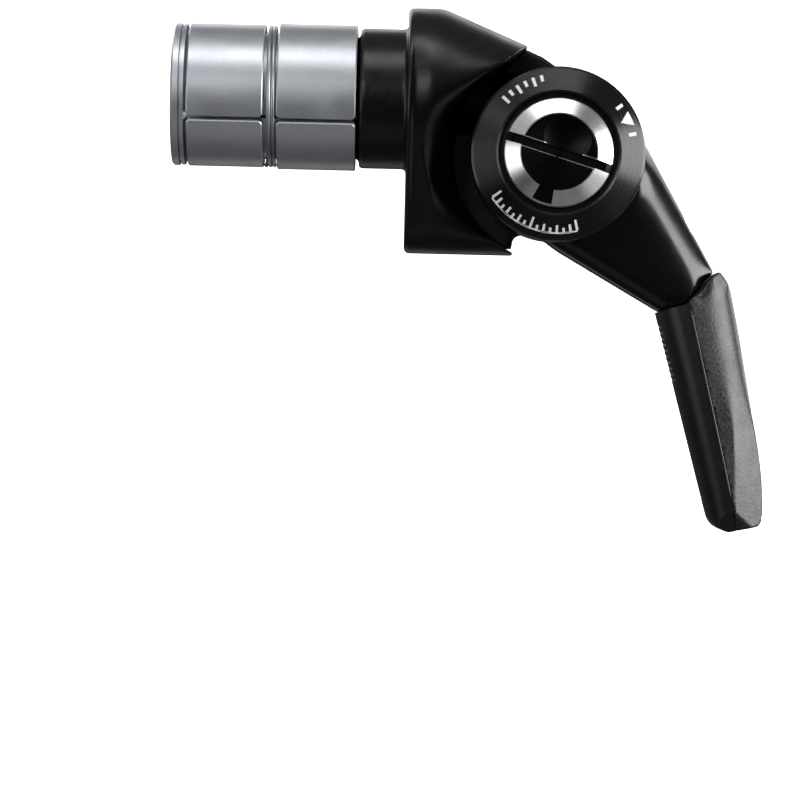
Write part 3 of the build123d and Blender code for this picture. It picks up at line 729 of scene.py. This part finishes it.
def softbox(name, direction, distance, width, height, radiance):
    """A rectangular light in a direction from the object, of a given brightness."""
    data = bpy.data.lights.new(name, "AREA")
    data.shape = "RECTANGLE"
    data.size = width
    data.size_y = height
    data.energy = radiance * math.pi * width * height
    obj = bpy.data.objects.new(name, data)
    obj.location = CENTRE + Vector(direction).normalized() * distance
    obj.rotation_euler = (CENTRE - obj.location).to_track_quat("-Z", "Y").to_euler()
    bpy.context.scene.collection.objects.link(obj)
    return obj


def keep_off(light, piece):
    """Stop a light from reaching one piece."""
    receivers = bpy.data.collections.new(light.name + "_receivers")
    receivers.objects.link(piece)
    receivers.collection_objects[0].light_linking.link_state = "EXCLUDE"
    light.light_linking.receiver_collection = receivers


# name, direction, distance, width, height, radiance
LIGHTS = [
    ("top_box", (-0.07, -0.44, 0.89), 0.55, 0.44, 0.22, 3.3),
    ("front_fill", (0.0, -0.93, 0.36), 0.9, 0.9, 0.5, 0.05),
    ("low_fill", (0.0, -0.5, -0.86), 0.6, 0.9, 0.4, 0.13),
    ("right_box", (0.92, -0.37, 0.12), 0.6, 0.54, 0.34, 9.3),
    ("left_box", (-0.9, -0.42, -0.05), 0.6, 0.4, 0.32, 2.0),
    ("left_key", (-0.37, -0.88, 0.30), 0.7, 0.2, 0.2, 5.4),
    ("upper_left", (-0.62, -0.47, 0.62), 0.7, 0.35, 0.35, 0.3),
    ("lower_right", (0.76, -0.47, -0.45), 0.7, 0.35, 0.35, 0.6),
    ("back_left", (-0.6, 0.75, 0.35), 0.6, 0.4, 0.4, 2.2),
    ("back_right", (0.7, 0.72, 0.2), 0.6, 0.4, 0.4, 2.2),
    ("back_top", (0.0, 0.84, 0.54), 0.6, 0.5, 0.16, 1.8),
    ("back_low", (0.0, 0.84, -0.54), 0.3, 0.3, 0.1, 0.4),
]
boxes = {row[0]: softbox(*row) for row in LIGHTS}
# seen from behind, the strong side light would wash out the roof
keep_off(boxes["right_box"], BRACKET_SKIN)


def studio_world():
    """Dim surroundings for reflections, plain white behind the object."""
    world = bpy.data.worlds.new("world")
    world.use_nodes = True
    tree = world.node_tree
    tree.nodes.clear()
    out = tree.nodes.new("ShaderNodeOutputWorld")
    dim = node(tree, "ShaderNodeBackground")
    white = node(tree, "ShaderNodeBackground")
    white.inputs[0].default_value = (1, 1, 1, 1)
    coords = node(tree, "ShaderNodeTexCoord")
    split = node(tree, "ShaderNodeSeparateXYZ")
    tree.links.new(coords.outputs["Generated"], split.inputs[0])
    sky = remap(tree, split.outputs[2], -1.0, 1.0, 0.0, 1.0)
    shades = ramp(tree, sky, [(0.0, 0.07), (0.35, 0.03), (0.55, 0.05), (1.0, 0.20)])
    tree.links.new(shades, dim.inputs[0])
    mixer = node(tree, "ShaderNodeMixShader")
    path = node(tree, "ShaderNodeLightPath")
    tree.links.new(path.outputs["Is Camera Ray"], mixer.inputs[0])
    tree.links.new(dim.outputs[0], mixer.inputs[1])
    tree.links.new(white.outputs[0], mixer.inputs[2])
    tree.links.new(mixer.outputs[0], out.inputs[0])
    bpy.context.scene.world = world


studio_world()
bpy.context.scene.view_settings.view_transform = "Standard"
